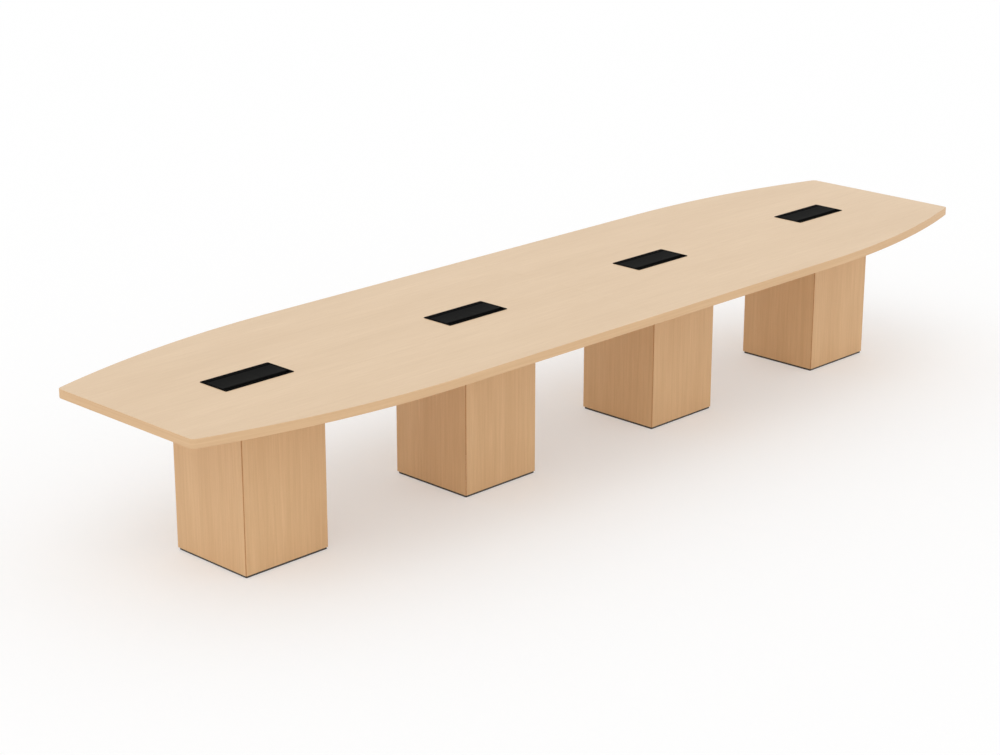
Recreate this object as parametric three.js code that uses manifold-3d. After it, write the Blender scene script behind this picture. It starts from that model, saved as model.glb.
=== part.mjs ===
// Boat-shaped conference table on four cube bases, with a flip-lid cable box above each base.
// Millimetres. X runs along the table, Y across it towards the far side and Z up.
// The origin is on the floor, under the middle of the table.

import * as THREE from 'three';
import { mergeVertices } from 'three/addons/utils/BufferGeometryUtils.js';
import Module from 'manifold-3d';

const wasm = await Module();
wasm.setup();

// Driving dimensions
const inch = 25.4;
const clearance = 0.3;           // between pieces that pass through or into each other
const roundSides = 16;           // facets of a small round piece
const cornerSteps = 3;           // facets of a rounded corner

const stations = [-72, -24, 24, 72].map((x) => x * inch);   // a base and a cable box at each

const top = {
  length: 192 * inch,
  width: 48 * inch,              // across the straight middle
  endWidth: 33 * inch,           // across each end, before the corners are rounded
  straight: 96 * inch,           // the middle stretch of the long sides
  height: 29 * inch,             // floor to worktop
  thickness: 1.5 * inch,
  cornerRadius: 25,
  bowSteps: 24,
  cornerSteps: 6,
  seam: 0.5,                     // between the two halves
  band: 3,                       // thickness of the edge band
  glueLine: 0.2,
};

const seamPlate = {
  length: 220,
  width: 60,
  thickness: 4,
  cornerRadius: 8,
  spacing: 340,                  // from one plate to the next, across the table
  screwRadius: 3,
  screwX: [-85, -35, 35, 85],
};

const base = {
  side: 17 * inch,
  panel: 19,                     // board thickness
  quirk: 3,                      // square notch along each upright corner
  mitreGap: 0.2,
  plinthHeight: 10,
  plinthInset: 5,
  plinthWidth: 45,
  plinthCorners: [2, 6],         // outer and inner corner radius
  plateCorners: [1, 8],
  plateHoleGap: 5,               // round the cable box's skirt
};

// The far side of each base is a door, set between the side panels, for reaching the wiring.
const door = {
  reveal: 2,                     // gap at its two upright edges
  endGap: 1.5,                   // gap above and below
  chamfer: 4,                    // makes room for the hinge barrel
  barrelRadius: 3,
  barrelEndGap: 22,              // from the door's top and bottom to the barrel's ends
  leafThickness: 0.9,
  leafWidth: 17,
  leafGap: 0.2,                  // between the leaf and the side panel that it is screwed to
};

const cableBox = {
  length: 13.75 * inch,
  width: 6.5 * inch,
  proud: 2.5,                    // height of the rim above the worktop
  seat: 0.1,                     // gasket line under the rim
  cornerRadius: 5,
  rimSide: 9,                    // rim width at the two ends and along the near side
  rimFar: 27,                    // rim width behind the hinge
  skirtWall: 2,
  skirtDepth: 16,
  skirtCornerRadius: 4,
  cutoutGap: 1,
  openingRadius: 2,
};

const lid = {
  thickness: 4,
  sideGap: 1,
  frontY: -49,                   // the cable slot lies between this edge and the near rim
  hingeToRim: 7,
  hingeToBackEdge: 4,
  hingeDrop: 5,                  // hinge axis below the lid's upper face
  knuckleRadius: 4,
  knuckleLength: 34,
  knuckleX: [-130, 0, 130],
  lipThickness: 2,
  lipDepth: 9,
  lipEndGap: 1,                  // from the lid rests to the lip's ends
  rodRadius: 2,
  rodEndGap: 0.5,                // from the rod's ends to the skirt's outer face
};

const lidRest = { reach: 4, thickness: 3, y: [-36, 40] };

const tub = { depth: 95, wall: 1.5, rimDrop: 8, cornerRadius: 2 };

const socketBlock = {
  halfLength: 155,
  frontY: 5,
  frontHeight: 7,
  slope: 38,                     // rise and run of the 45 degree face
  outlets: [-120, -60, 0, 60, 120],
  outletLength: 46,
  outletWidth: 40,
  outletDepth: 1.5,
};

const gland = {
  x: 130,
  y: 35,
  boreRadius: 4,                 // takes a cord of 7 to 8 mm
  neckRadius: 10.7,
  nutRadius: 15,
  nutHeight: 7,
  tipRadius: 8.5,
  tipHeight: 11,
};

// Sizes that follow from them
const underside = top.height - top.thickness;
const bowRun = (top.length - top.straight) / 2;
const bowDrop = (top.width - top.endWidth) / 2;
const bowRadius = (bowRun ** 2 + bowDrop ** 2) / (2 * bowDrop);
const insideHalf = base.side / 2 - base.panel;
const opening = {
  x: cableBox.length / 2 - cableBox.rimSide,
  nearY: cableBox.rimSide - cableBox.width / 2,
  farY: cableBox.width / 2 - cableBox.rimFar,
};
const skirt = {
  x: opening.x + cableBox.skirtWall,
  nearY: opening.nearY - cableBox.skirtWall,
  farY: opening.farY + cableBox.skirtWall,
};
const hinge = {
  y: opening.farY - lid.hingeToRim,
  z: cableBox.proud - lid.hingeDrop,
};

// Finishes
const finish = (color, roughness, metalness) =>
  new THREE.MeshStandardMaterial({ color, roughness, metalness });
const finishes = {
  worktop: finish(0xe4ccae, 0.45, 0),
  edge: finish(0xd6ae84, 0.5, 0),
  panel: finish(0xd0aa80, 0.5, 0),
  board: finish(0xb9976c, 0.8, 0),
  plinth: finish(0x4a4643, 0.6, 0),
  rim: finish(0x101011, 0.5, 0),
  lid: finish(0x242424, 0.4, 0.3),
  tub: finish(0x161616, 0.6, 0.3),
  socket: finish(0x1c1c1e, 0.4, 0),
  steel: finish(0xa8a9ab, 0.4, 0.9),
};

// Geometry helpers
function arc(x, y, radius, from, to, steps) {
  return new THREE.EllipseCurve(x, y, radius, radius, from, to).getPoints(steps);
}

function roundedRectangle(x, y, radius) {
  const quarter = Math.PI / 2;
  const corners = [
    [x[1] - radius, y[0] + radius],
    [x[1] - radius, y[1] - radius],
    [x[0] + radius, y[1] - radius],
    [x[0] + radius, y[0] + radius],
  ];
  return corners.flatMap(([cx, cy], i) => arc(cx, cy, radius, (i - 1) * quarter, i * quarter, cornerSteps));
}

function prism(outline, holes, bottom, height) {
  const shape = new THREE.Shape(outline);
  shape.holes = holes.map((hole) => new THREE.Path(hole));
  const geometry = new THREE.ExtrudeGeometry(shape, { depth: height, bevelEnabled: false });
  return geometry.translate(0, 0, bottom);
}

function block(x, y, z) {
  const geometry = new THREE.BoxGeometry(x[1] - x[0], y[1] - y[0], z[1] - z[0]);
  return geometry.translate((x[0] + x[1]) / 2, (y[0] + y[1]) / 2, (z[0] + z[1]) / 2);
}

function rodAlongX(radius, length, x, y, z) {
  const rod = new THREE.CylinderGeometry(radius, radius, length, roundSides);
  return rod.rotateZ(Math.PI / 2).translate(x, y, z);
}

function solidOf(geometry) {
  const shell = geometry.clone();
  shell.deleteAttribute('normal');
  shell.deleteAttribute('uv');
  const merged = mergeVertices(shell);
  return new wasm.Manifold(new wasm.Mesh({
    numProp: 3,
    vertProperties: new Float32Array(merged.attributes.position.array),
    triVerts: new Uint32Array(merged.index.array),
  }));
}

function geometryOf(solid) {
  const mesh = solid.getMesh();
  const geometry = new THREE.BufferGeometry();
  geometry.setAttribute('position', new THREE.BufferAttribute(mesh.vertProperties, 3));
  geometry.setIndex(new THREE.BufferAttribute(mesh.triVerts, 1));
  geometry.computeVertexNormals();
  return geometry;
}

function join(geometries) {
  return geometries.map(solidOf).reduce((whole, next) => whole.add(next));
}

function cut(solid, geometries) {
  return geometries.map(solidOf).reduce((whole, next) => whole.subtract(next), solid);
}

function piece(name, geometry, material) {
  const mesh = new THREE.Mesh(geometry, material);
  mesh.name = name;
  return mesh;
}

// The right half of the top from above, a set distance inside its finished edge:
// along the near side from the seam, round the end, and back along the far side.
function halfOutline(inset) {
  const halfWidth = top.width / 2 - inset;
  const bow = bowRadius - inset;
  const corner = top.cornerRadius - inset;
  const bowX = top.straight / 2;
  const bowY = halfWidth - bow;
  const cornerX = top.length / 2 - inset - corner;
  const cornerY = bowY + Math.sqrt((bow - corner) ** 2 - (cornerX - bowX) ** 2);
  const bowEnd = Math.atan2(cornerY - bowY, cornerX - bowX);
  const near = [
    new THREE.Vector2(top.seam / 2, -halfWidth),
    ...arc(bowX, -bowY, bow, -Math.PI / 2, -bowEnd, top.bowSteps),
    ...arc(cornerX, -cornerY, corner, -bowEnd, 0, top.cornerSteps).slice(1),
  ];
  const far = near.map((point) => new THREE.Vector2(point.x, -point.y)).reverse();
  return [...near, ...far];
}

function boxCutout(x) {
  const halfLength = skirt.x + cableBox.cutoutGap;
  const halfWidth = cableBox.cutoutGap - skirt.nearY;
  return roundedRectangle([x - halfLength, x + halfLength], [-halfWidth, halfWidth], cableBox.cornerRadius);
}

function makeTopHalf(side, turn) {
  const half = new THREE.Group();
  half.rotation.z = turn;
  const cutouts = stations.filter((x) => x > 0).map(boxCutout);
  const board = prism(halfOutline(top.band + top.glueLine), cutouts, underside, top.thickness);
  half.add(piece(`top_half_${side}`, board, finishes.worktop));
  const bandOutline = [...halfOutline(0), ...halfOutline(top.band).reverse()];
  half.add(piece(`edge_band_${side}`, prism(bandOutline, [], underside, top.thickness), finishes.edge));
  return half;
}

function makeSeamPlates() {
  const plates = new THREE.Group();
  const outline = roundedRectangle(
    [-seamPlate.length / 2, seamPlate.length / 2],
    [-seamPlate.width / 2, seamPlate.width / 2],
    seamPlate.cornerRadius,
  );
  const screwHoles = seamPlate.screwX.map((x) =>
    arc(x, 0, seamPlate.screwRadius, 0, 2 * Math.PI, roundSides).slice(1));
  const geometry = prism(outline, screwHoles, -seamPlate.thickness, seamPlate.thickness);
  ['near', 'middle', 'far'].forEach((place, i) => {
    const plate = piece(`seam_plate_${place}`, geometry, finishes.steel);
    plate.position.set(0, (i - 1) * seamPlate.spacing, underside);
    plates.add(plate);
  });
  return plates;
}

// The right half of a panel on the near side of a base, up to its mitred end. A square notch is left
// along the outer corner.
function mitredEnd() {
  const outer = base.side / 2;
  const notch = outer - base.quirk;
  return [
    new THREE.Vector2(notch - base.mitreGap, -outer),
    new THREE.Vector2(notch - base.mitreGap, -notch),
    new THREE.Vector2(insideHalf - base.mitreGap, -insideHalf),
  ];
}

function makeFrontPanel() {
  const rightEnd = mitredEnd();
  const leftEnd = rightEnd.map((point) => new THREE.Vector2(-point.x, point.y)).reverse();
  return prism([...rightEnd, ...leftEnd], [], base.plinthHeight, underside - base.plinthHeight);
}

// A side panel meets the front panel in a mitre and is cut square beside the door.
function makeSidePanel(side) {
  const outer = base.side / 2;
  const mitre = mitredEnd().map((point) => new THREE.Vector2(-point.y, -point.x)).reverse();
  const outline = [
    ...mitre,
    new THREE.Vector2(outer, outer),
    new THREE.Vector2(insideHalf + door.chamfer, outer),
    new THREE.Vector2(insideHalf, outer - door.chamfer),
  ].map((point) => new THREE.Vector2(side * point.x, point.y));
  return prism(outline, [], base.plinthHeight, underside - base.plinthHeight);
}

function makeDoor() {
  const outer = base.side / 2;
  const edge = insideHalf - door.reveal;
  const outline = [
    [edge, insideHalf],
    [edge, outer],
    [door.chamfer - edge, outer],
    [-edge, outer - door.chamfer],
    [-edge, insideHalf],
  ].map(([x, y]) => new THREE.Vector2(x, y));
  const foot = base.plinthHeight + door.endGap;
  return prism(outline, [], foot, underside - door.endGap - foot);
}

// The barrel of the door's continuous hinge, with the leaf that is screwed to the left side panel.
function makeDoorHinge() {
  const outer = base.side / 2;
  const foot = base.plinthHeight + door.endGap + door.barrelEndGap;
  const height = underside - door.endGap - door.barrelEndGap - foot;
  const barrel = prism(
    arc(door.reveal / 2 - insideHalf, outer, door.barrelRadius, 0, 2 * Math.PI, roundSides).slice(1),
    [],
    foot,
    height,
  );
  const leafX = door.leafGap - insideHalf;
  const leaf = block(
    [leafX, leafX + door.leafThickness],
    [outer - door.leafWidth, outer - door.barrelRadius / 2],
    [foot, foot + height],
  );
  return geometryOf(join([barrel, leaf]));
}

function makePlinth() {
  const outer = base.side / 2 - base.plinthInset;
  const inner = outer - base.plinthWidth;
  const [outerRadius, innerRadius] = base.plinthCorners;
  return prism(
    roundedRectangle([-outer, outer], [-outer, outer], outerRadius),
    [roundedRectangle([-inner, inner], [-inner, inner], innerRadius)],
    0,
    base.plinthHeight,
  );
}

// The board that the top is screwed to, with a hole that the cable box hangs through.
function makeMountingPlate() {
  const half = insideHalf - clearance;
  const holeX = skirt.x + base.plateHoleGap;
  const holeY = base.plateHoleGap - skirt.nearY;
  const [outerRadius, holeRadius] = base.plateCorners;
  return prism(
    roundedRectangle([-half, half], [-half, half], outerRadius),
    [roundedRectangle([-holeX, holeX], [-holeY, holeY], holeRadius)],
    underside - base.panel,
    base.panel,
  );
}

function makeBase(name, x) {
  const group = new THREE.Group();
  group.position.x = x;
  group.add(piece(`${name}_front_panel`, makeFrontPanel(), finishes.panel));
  group.add(piece(`${name}_left_panel`, makeSidePanel(-1), finishes.panel));
  group.add(piece(`${name}_right_panel`, makeSidePanel(1), finishes.panel));
  group.add(piece(`${name}_door`, makeDoor(), finishes.panel));
  group.add(piece(`${name}_door_hinge`, makeDoorHinge(), finishes.steel));
  group.add(piece(`${name}_plinth`, makePlinth(), finishes.plinth));
  group.add(piece(`${name}_mounting_plate`, makeMountingPlate(), finishes.board));
  return group;
}

function makeBezel() {
  const halfLength = cableBox.length / 2;
  const halfWidth = cableBox.width / 2;
  const mouth = roundedRectangle(
    [-opening.x, opening.x],
    [opening.nearY, opening.farY],
    cableBox.openingRadius,
  );
  const rim = prism(
    roundedRectangle([-halfLength, halfLength], [-halfWidth, halfWidth], cableBox.cornerRadius),
    [mouth],
    cableBox.seat,
    cableBox.proud - cableBox.seat,
  );
  const wall = prism(
    roundedRectangle([-skirt.x, skirt.x], [skirt.nearY, skirt.farY], cableBox.skirtCornerRadius),
    [mouth],
    -cableBox.skirtDepth,
    cableBox.skirtDepth + cableBox.proud / 2,
  );
  const restTop = cableBox.proud - lid.thickness - clearance;
  const rests = [-1, 1].map((side) => {
    const x = [side * (opening.x - lidRest.reach), side * (opening.x + cableBox.skirtWall / 2)];
    return block(x.sort((a, b) => a - b), lidRest.y, [restTop - lidRest.thickness, restTop]);
  });
  const rodHole = rodAlongX(lid.rodRadius + clearance, cableBox.length, 0, hinge.y, hinge.z);
  return geometryOf(cut(join([rim, wall, ...rests]), [rodHole]));
}

function makeLid() {
  const halfLength = opening.x - lid.sideGap;
  const underFace = cableBox.proud - lid.thickness;
  const plate = block(
    [-halfLength, halfLength],
    [lid.frontY, hinge.y + lid.hingeToBackEdge],
    [underFace, cableBox.proud],
  );
  const lipHalf = halfLength - lidRest.reach - lid.lipEndGap;
  const lip = block(
    [-lipHalf, lipHalf],
    [lid.frontY, lid.frontY + lid.lipThickness],
    [cableBox.proud - lid.lipDepth, cableBox.proud - lid.thickness / 2],
  );
  const knuckles = lid.knuckleX.map((x) =>
    rodAlongX(lid.knuckleRadius, lid.knuckleLength, x, hinge.y, hinge.z));
  const bore = rodAlongX(lid.rodRadius + clearance, cableBox.length, 0, hinge.y, hinge.z);
  return geometryOf(cut(join([plate, lip, ...knuckles]), [bore]));
}

function makeTub() {
  const outside = (inset) => roundedRectangle(
    [inset - opening.x, opening.x - inset],
    [opening.nearY + inset, opening.farY - inset],
    tub.cornerRadius,
  );
  const shell = prism(outside(clearance), [], -tub.depth, tub.depth - tub.rimDrop);
  const hollow = prism(outside(clearance + tub.wall), [], tub.wall - tub.depth, tub.depth);
  const glandHole = new THREE.CylinderGeometry(
    gland.neckRadius + clearance, gland.neckRadius + clearance, 4 * tub.wall, roundSides,
  ).rotateX(Math.PI / 2).translate(gland.x, gland.y, -tub.depth);
  return geometryOf(cut(solidOf(shell), [hollow, glandHole]));
}

function makeSocketBlock() {
  const floor = tub.wall - tub.depth + clearance;
  const back = opening.farY - tub.wall - 2 * clearance;
  const slopeFoot = floor + socketBlock.frontHeight;
  const slopeHead = slopeFoot + socketBlock.slope;
  const section = [
    [back, floor],
    [back, slopeHead],
    [socketBlock.frontY + socketBlock.slope, slopeHead],
    [socketBlock.frontY, slopeFoot],
    [socketBlock.frontY, floor],
  ].map(([y, z]) => new THREE.Vector2(y, z));
  const body = prism(section, [], -socketBlock.halfLength, 2 * socketBlock.halfLength)
    .rotateX(Math.PI / 2)
    .rotateZ(Math.PI / 2);
  const recesses = socketBlock.outlets.map((x) =>
    new THREE.BoxGeometry(socketBlock.outletLength, socketBlock.outletWidth, 2 * socketBlock.outletDepth)
      .rotateX(Math.PI / 4)
      .translate(x, socketBlock.frontY + socketBlock.slope / 2, slopeFoot + socketBlock.slope / 2));
  return geometryOf(cut(solidOf(body), recesses));
}

// The gland's neck stands in the tub's floor, under the socket block, and its nut is below the tub.
function makeGland() {
  const neckHead = tub.wall - tub.depth;
  const nutHead = -tub.depth - clearance;
  const nutFoot = nutHead - gland.nutHeight;
  const tip = nutFoot - gland.tipHeight;
  const profile = [
    [gland.boreRadius, tip],
    [gland.tipRadius, tip],
    [gland.neckRadius, nutFoot],
    [gland.nutRadius, nutFoot],
    [gland.nutRadius, nutHead],
    [gland.neckRadius, nutHead],
    [gland.neckRadius, neckHead],
    [gland.boreRadius, neckHead],
    [gland.boreRadius, tip],
  ].map(([radius, z]) => new THREE.Vector2(radius, z));
  return new THREE.LatheGeometry(profile, roundSides).rotateX(Math.PI / 2).translate(gland.x, gland.y, 0);
}

function makeCableBox(name, x) {
  const group = new THREE.Group();
  group.position.set(x, 0, top.height);
  group.add(piece(`${name}_bezel`, makeBezel(), finishes.rim));
  group.add(piece(`${name}_lid`, makeLid(), finishes.lid));
  const rodLength = 2 * (skirt.x - lid.rodEndGap);
  const rod = rodAlongX(lid.rodRadius, rodLength, 0, hinge.y, hinge.z);
  group.add(piece(`${name}_hinge_rod`, rod, finishes.steel));
  group.add(piece(`${name}_tub`, makeTub(), finishes.tub));
  group.add(piece(`${name}_socket_block`, makeSocketBlock(), finishes.socket));
  group.add(piece(`${name}_gland`, makeGland(), finishes.rim));
  return group;
}

const group = new THREE.Group();
group.add(makeTopHalf('right', 0));
group.add(makeTopHalf('left', Math.PI));
group.add(makeSeamPlates());
stations.forEach((x, i) => {
  group.add(makeBase(`base${i + 1}`, x));
  group.add(makeCableBox(`box${i + 1}`, x));
});

export default group;
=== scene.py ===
import bpy
import bmesh
from bmesh.types import BMEdge, BMFace, BMVert
from math import asin, pi, radians, sqrt
from mathutils import Matrix, Vector


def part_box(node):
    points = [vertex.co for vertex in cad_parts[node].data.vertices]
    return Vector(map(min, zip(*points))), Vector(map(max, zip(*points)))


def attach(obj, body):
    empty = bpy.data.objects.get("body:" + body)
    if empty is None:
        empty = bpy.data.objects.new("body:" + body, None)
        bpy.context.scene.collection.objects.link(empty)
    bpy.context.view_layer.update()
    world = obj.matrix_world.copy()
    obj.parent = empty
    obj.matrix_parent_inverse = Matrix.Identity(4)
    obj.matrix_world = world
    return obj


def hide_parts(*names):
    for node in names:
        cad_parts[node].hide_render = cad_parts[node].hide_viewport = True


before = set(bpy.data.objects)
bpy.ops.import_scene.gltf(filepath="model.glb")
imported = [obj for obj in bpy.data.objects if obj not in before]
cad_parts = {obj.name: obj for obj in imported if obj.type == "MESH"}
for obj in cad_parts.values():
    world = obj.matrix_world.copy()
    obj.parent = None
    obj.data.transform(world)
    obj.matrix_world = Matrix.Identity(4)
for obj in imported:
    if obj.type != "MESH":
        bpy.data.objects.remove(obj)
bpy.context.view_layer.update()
scene = bpy.context.scene
scene.view_settings.view_transform = "Standard"

# Piece sizes are in millimetres, X along the table, Y towards the far side, Z up
metre = 1000.0                                    # millimetres
xAxis, yAxis, zAxis = 0, 1, 2


def reach(node, axis):                            # lowest and highest point of a CAD node along one axis
    low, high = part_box(node)
    return low[axis] * metre, high[axis] * metre


def span(node, axis):
    low, high = reach(node, axis)
    return high - low


baseNumbers = (1, 2, 3, 4)                        # each base has a cable box above it, with the same number
stations = [sum(reach(f"base{number}_plinth", xAxis)) / 2 for number in baseNumbers]
print("frame loaded:", len(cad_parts), "nodes")


# Camera, matched to the photograph's viewpoint
view = {
    "place": (-7.2486, -6.6958, 3.5880),          # metres
    "yaw": 0.7739,                                # radians, from +X towards +Y
    "pitch": 0.3218,                              # downwards
    "roll": 0.0010,
    "lens": 82.003,
    "sensor": 36.0,
    "clipEnd": 200.0,
}

cameraData = bpy.data.cameras.new("camera")
cameraData.lens = view["lens"]
cameraData.sensor_width = view["sensor"]
cameraData.clip_end = view["clipEnd"]
camera = bpy.data.objects.new("camera", cameraData)
camera.matrix_world = (
    Matrix.Translation(view["place"])
    @ Matrix.Rotation(view["yaw"] - pi / 2, 4, "Z")
    @ Matrix.Rotation(pi / 2 - view["pitch"], 4, "X")
    @ Matrix.Rotation(view["roll"], 4, "Z")
)
scene.collection.objects.link(camera)
scene.camera = camera
print("camera placed")


# Finishes
def newFinish(name):
    finish = bpy.data.materials.new(name)
    finish.use_nodes = True
    return finish, finish.node_tree, finish.node_tree.nodes["Principled BSDF"]


def objectPoint(tree):
    return tree.nodes.new("ShaderNodeTexCoord").outputs["Object"]


def grainNoise(tree, scale, detail, roughness=0.55, distortion=0.0):
    stretch = tree.nodes.new("ShaderNodeMapping")
    stretch.inputs["Scale"].default_value = scale
    noise = tree.nodes.new("ShaderNodeTexNoise")
    noise.inputs["Scale"].default_value = 1.0
    noise.inputs["Detail"].default_value = detail
    noise.inputs["Roughness"].default_value = roughness
    noise.inputs["Distortion"].default_value = distortion
    tree.links.new(objectPoint(tree), stretch.inputs["Vector"])
    tree.links.new(stretch.outputs["Vector"], noise.inputs["Vector"])
    return noise.outputs["Fac"]


def spread(tree, value, low, high, toLow=0.0, toHigh=1.0):
    node = tree.nodes.new("ShaderNodeMapRange")
    for name, number in (("From Min", low), ("From Max", high), ("To Min", toLow), ("To Max", toHigh)):
        node.inputs[name].default_value = number
    tree.links.new(value, node.inputs["Value"])
    return node.outputs["Result"]


def mixTones(tree, factor, first, second):
    node = tree.nodes.new("ShaderNodeMix")
    node.data_type = "RGBA"
    tree.links.new(factor, node.inputs["Factor"])
    for socket, tone in ((node.inputs[6], first), (node.inputs[7], second)):    # the two colour sockets
        if isinstance(tone, bpy.types.NodeSocket):
            tree.links.new(tone, socket)
        else:
            socket.default_value = (*tone, 1.0)
    return node.outputs[2]


def layOver(tree, tone, pattern, depth, overTone):  # lets a second tone through where the pattern is strong
    return mixTones(tree, spread(tree, pattern, 0, 1, 0, depth), tone, overTone)


def addBump(tree, shader, height, strength, depth=0.0002):     # depth in metres
    bump = tree.nodes.new("ShaderNodeBump")
    bump.inputs["Strength"].default_value = strength
    bump.inputs["Distance"].default_value = depth
    tree.links.new(height, bump.inputs["Height"])
    tree.links.new(bump.outputs["Normal"], shader.inputs["Normal"])


# Printed maple laminate: slow tone changes, soft streaks along the grain, fine lines and short flecks
mapleLayers = {
    "cloud": ((2, 0.55, 0.0), (0.30, 0.70)),      # the noise's detail, roughness and warp, then its range
    "streak": ((4, 0.60, 0.4), (0.30, 0.72)),
    "line": ((3, 0.65, 0.0), (0.38, 0.75)),
    "fleck": ((2, 0.50, 0.0), (0.58, 0.74)),
}


def mapleLaminate(name, look):
    finish, tree, shader = newFinish(name)

    def layer(kind):
        noise, shown = mapleLayers[kind]
        run, width = look[kind]
        scale = [1 / width] * 3
        scale[look["along"]] = 1 / run
        return spread(tree, grainNoise(tree, scale, *noise), *shown)

    line, fleck = layer("line"), layer("fleck")
    tone = mixTones(tree, layer("cloud"), look["light"], look["mid"])
    tone = layOver(tree, tone, layer("streak"), look["streakDepth"], look["dark"])
    tone = layOver(tree, tone, line, look["lineDepth"], look["dark"])
    tone = layOver(tree, tone, fleck, look["fleckDepth"], look["fleckTone"])
    tree.links.new(tone, shader.inputs["Base Color"])
    tree.links.new(spread(tree, line, 0, 1, *look["roughness"]), shader.inputs["Roughness"])
    shader.inputs["Specular IOR Level"].default_value = look["specular"]
    addBump(tree, shader, fleck, look["bump"])
    return finish


worktopMaple = mapleLaminate("worktop maple", {
    "along": xAxis,                               # the grain's direction
    "cloud": (0.9, 0.16),                         # length and width of the patches, metres
    "streak": (0.34, 0.016),
    "line": (0.12, 0.0028),
    "fleck": (0.012, 0.0009),
    "light": (0.780, 0.581, 0.380),
    "mid": (0.737, 0.540, 0.345),
    "dark": (0.637, 0.443, 0.266),
    "fleckTone": (0.605, 0.406, 0.239),
    "streakDepth": 0.34,
    "lineDepth": 0.22,
    "fleckDepth": 0.30,
    "roughness": (0.40, 0.50),
    "specular": 0.5,
    "bump": 0.10,
})

baseMaple = mapleLaminate("base maple", {
    "along": zAxis,
    "cloud": (0.7, 0.09),
    "streak": (0.45, 0.011),
    "line": (0.16, 0.0022),
    "fleck": (0.012, 0.0009),
    "light": (0.800, 0.524, 0.281),
    "mid": (0.742, 0.472, 0.247),
    "dark": (0.585, 0.348, 0.168),
    "fleckTone": (0.545, 0.306, 0.139),
    "streakDepth": 0.40,
    "lineDepth": 0.36,
    "fleckDepth": 0.30,
    "roughness": (0.42, 0.52),
    "specular": 0.4,
    "bump": 0.10,
})


# Edge strip: the same print, with its lines running round the table
def edgeStripMaple(look):
    finish, tree, shader = newFinish("edge strip maple")

    def layer(kind):
        run, width = look[kind]
        noise = grainNoise(tree, (1 / run, 1 / run, 1 / width), *look[kind + "Noise"])
        return spread(tree, noise, *look[kind + "Range"])

    line = layer("line")
    tone = mixTones(tree, layer("streak"), look["light"], look["dark"])
    tone = layOver(tree, tone, line, look["lineDepth"], look["lineTone"])
    tree.links.new(tone, shader.inputs["Base Color"])
    tree.links.new(spread(tree, line, 0, 1, *look["roughness"]), shader.inputs["Roughness"])
    shader.inputs["Specular IOR Level"].default_value = look["specular"]
    addBump(tree, shader, line, look["bump"])
    return finish


edgeMaple = edgeStripMaple({
    "streak": (0.5, 0.008),                       # length and width, metres
    "streakNoise": (4, 0.6),                      # detail and roughness
    "streakRange": (0.32, 0.70),
    "line": (0.5 / 3, 0.0016),
    "lineNoise": (2, 0.6),
    "lineRange": (0.40, 0.75),
    "light": (0.738, 0.500, 0.293),
    "dark": (0.679, 0.448, 0.255),
    "lineTone": (0.590, 0.372, 0.197),
    "lineDepth": 0.25,
    "roughness": (0.38, 0.48),
    "specular": 0.1,
    "bump": 0.06,
})


# Pressed chip board: flakes of two tones under a fine dust
boardDust = {"scale": (90, 90, 90), "detail": 4, "range": (0.35, 0.70), "depth": 0.5}
boardSurface = {"specular": 0.25, "bumpDepth": 0.0003}


def chipBoard(look):
    finish, tree, shader = newFinish(look["name"])
    flakes = tree.nodes.new("ShaderNodeTexVoronoi")
    flakes.inputs["Scale"].default_value = look["flakes"]
    flakes.inputs["Randomness"].default_value = 1.0
    tree.links.new(objectPoint(tree), flakes.inputs["Vector"])
    pick = tree.nodes.new("ShaderNodeSeparateColor")
    tree.links.new(flakes.outputs["Color"], pick.inputs["Color"])
    dust = spread(tree, grainNoise(tree, boardDust["scale"], boardDust["detail"]), *boardDust["range"])
    tone = mixTones(tree, pick.outputs["Red"], look["light"], look["dark"])
    tone = layOver(tree, tone, dust, boardDust["depth"], look["dust"])
    tree.links.new(tone, shader.inputs["Base Color"])
    shader.inputs["Roughness"].default_value = look["roughness"]
    shader.inputs["Specular IOR Level"].default_value = boardSurface["specular"]
    addBump(tree, shader, pick.outputs["Green"], look["bump"], boardSurface["bumpDepth"])
    return finish


rawBoard = chipBoard({
    "name": "raw chip board",
    "flakes": 260,                                # to the metre
    "light": (0.52, 0.36, 0.20),
    "dark": (0.36, 0.225, 0.11),
    "dust": (0.45, 0.31, 0.18),
    "roughness": 0.85,
    "bump": 0.4,
})

# The cut core's own darker tone, also standing in as painted shade in the quirk notch at each near corner
cutEdgeAndShade = chipBoard({
    "name": "cut board edge and painted shade",
    "flakes": 420,
    "light": (0.68, 0.385, 0.188),
    "dark": (0.55, 0.29, 0.135),
    "dust": (0.62, 0.34, 0.160),
    "roughness": 0.85,
    "bump": 0.2,
})

backerSheet = chipBoard({
    "name": "backer sheet",
    "flakes": 900,
    "light": (0.66, 0.455, 0.270),
    "dark": (0.60, 0.405, 0.235),
    "dust": (0.63, 0.43, 0.255),
    "roughness": 0.7,
    "bump": 0.08,
})


# Plastic, paint, powder coat and steel: a fine grain in the surface and a faint cloud in the tone
faintCloud = {"scale": (14, 14, 14), "detail": 3, "range": (0.3, 0.7)}
fineGrain = {"detail": 2, "roughness": 0.6, "range": (0.3, 0.7)}


def towardsFarSide(tree):                         # how far across the table a point lies, metres
    split = tree.nodes.new("ShaderNodeSeparateXYZ")
    tree.links.new(objectPoint(tree), split.inputs["Vector"])
    return split.outputs["Y"]


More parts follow.
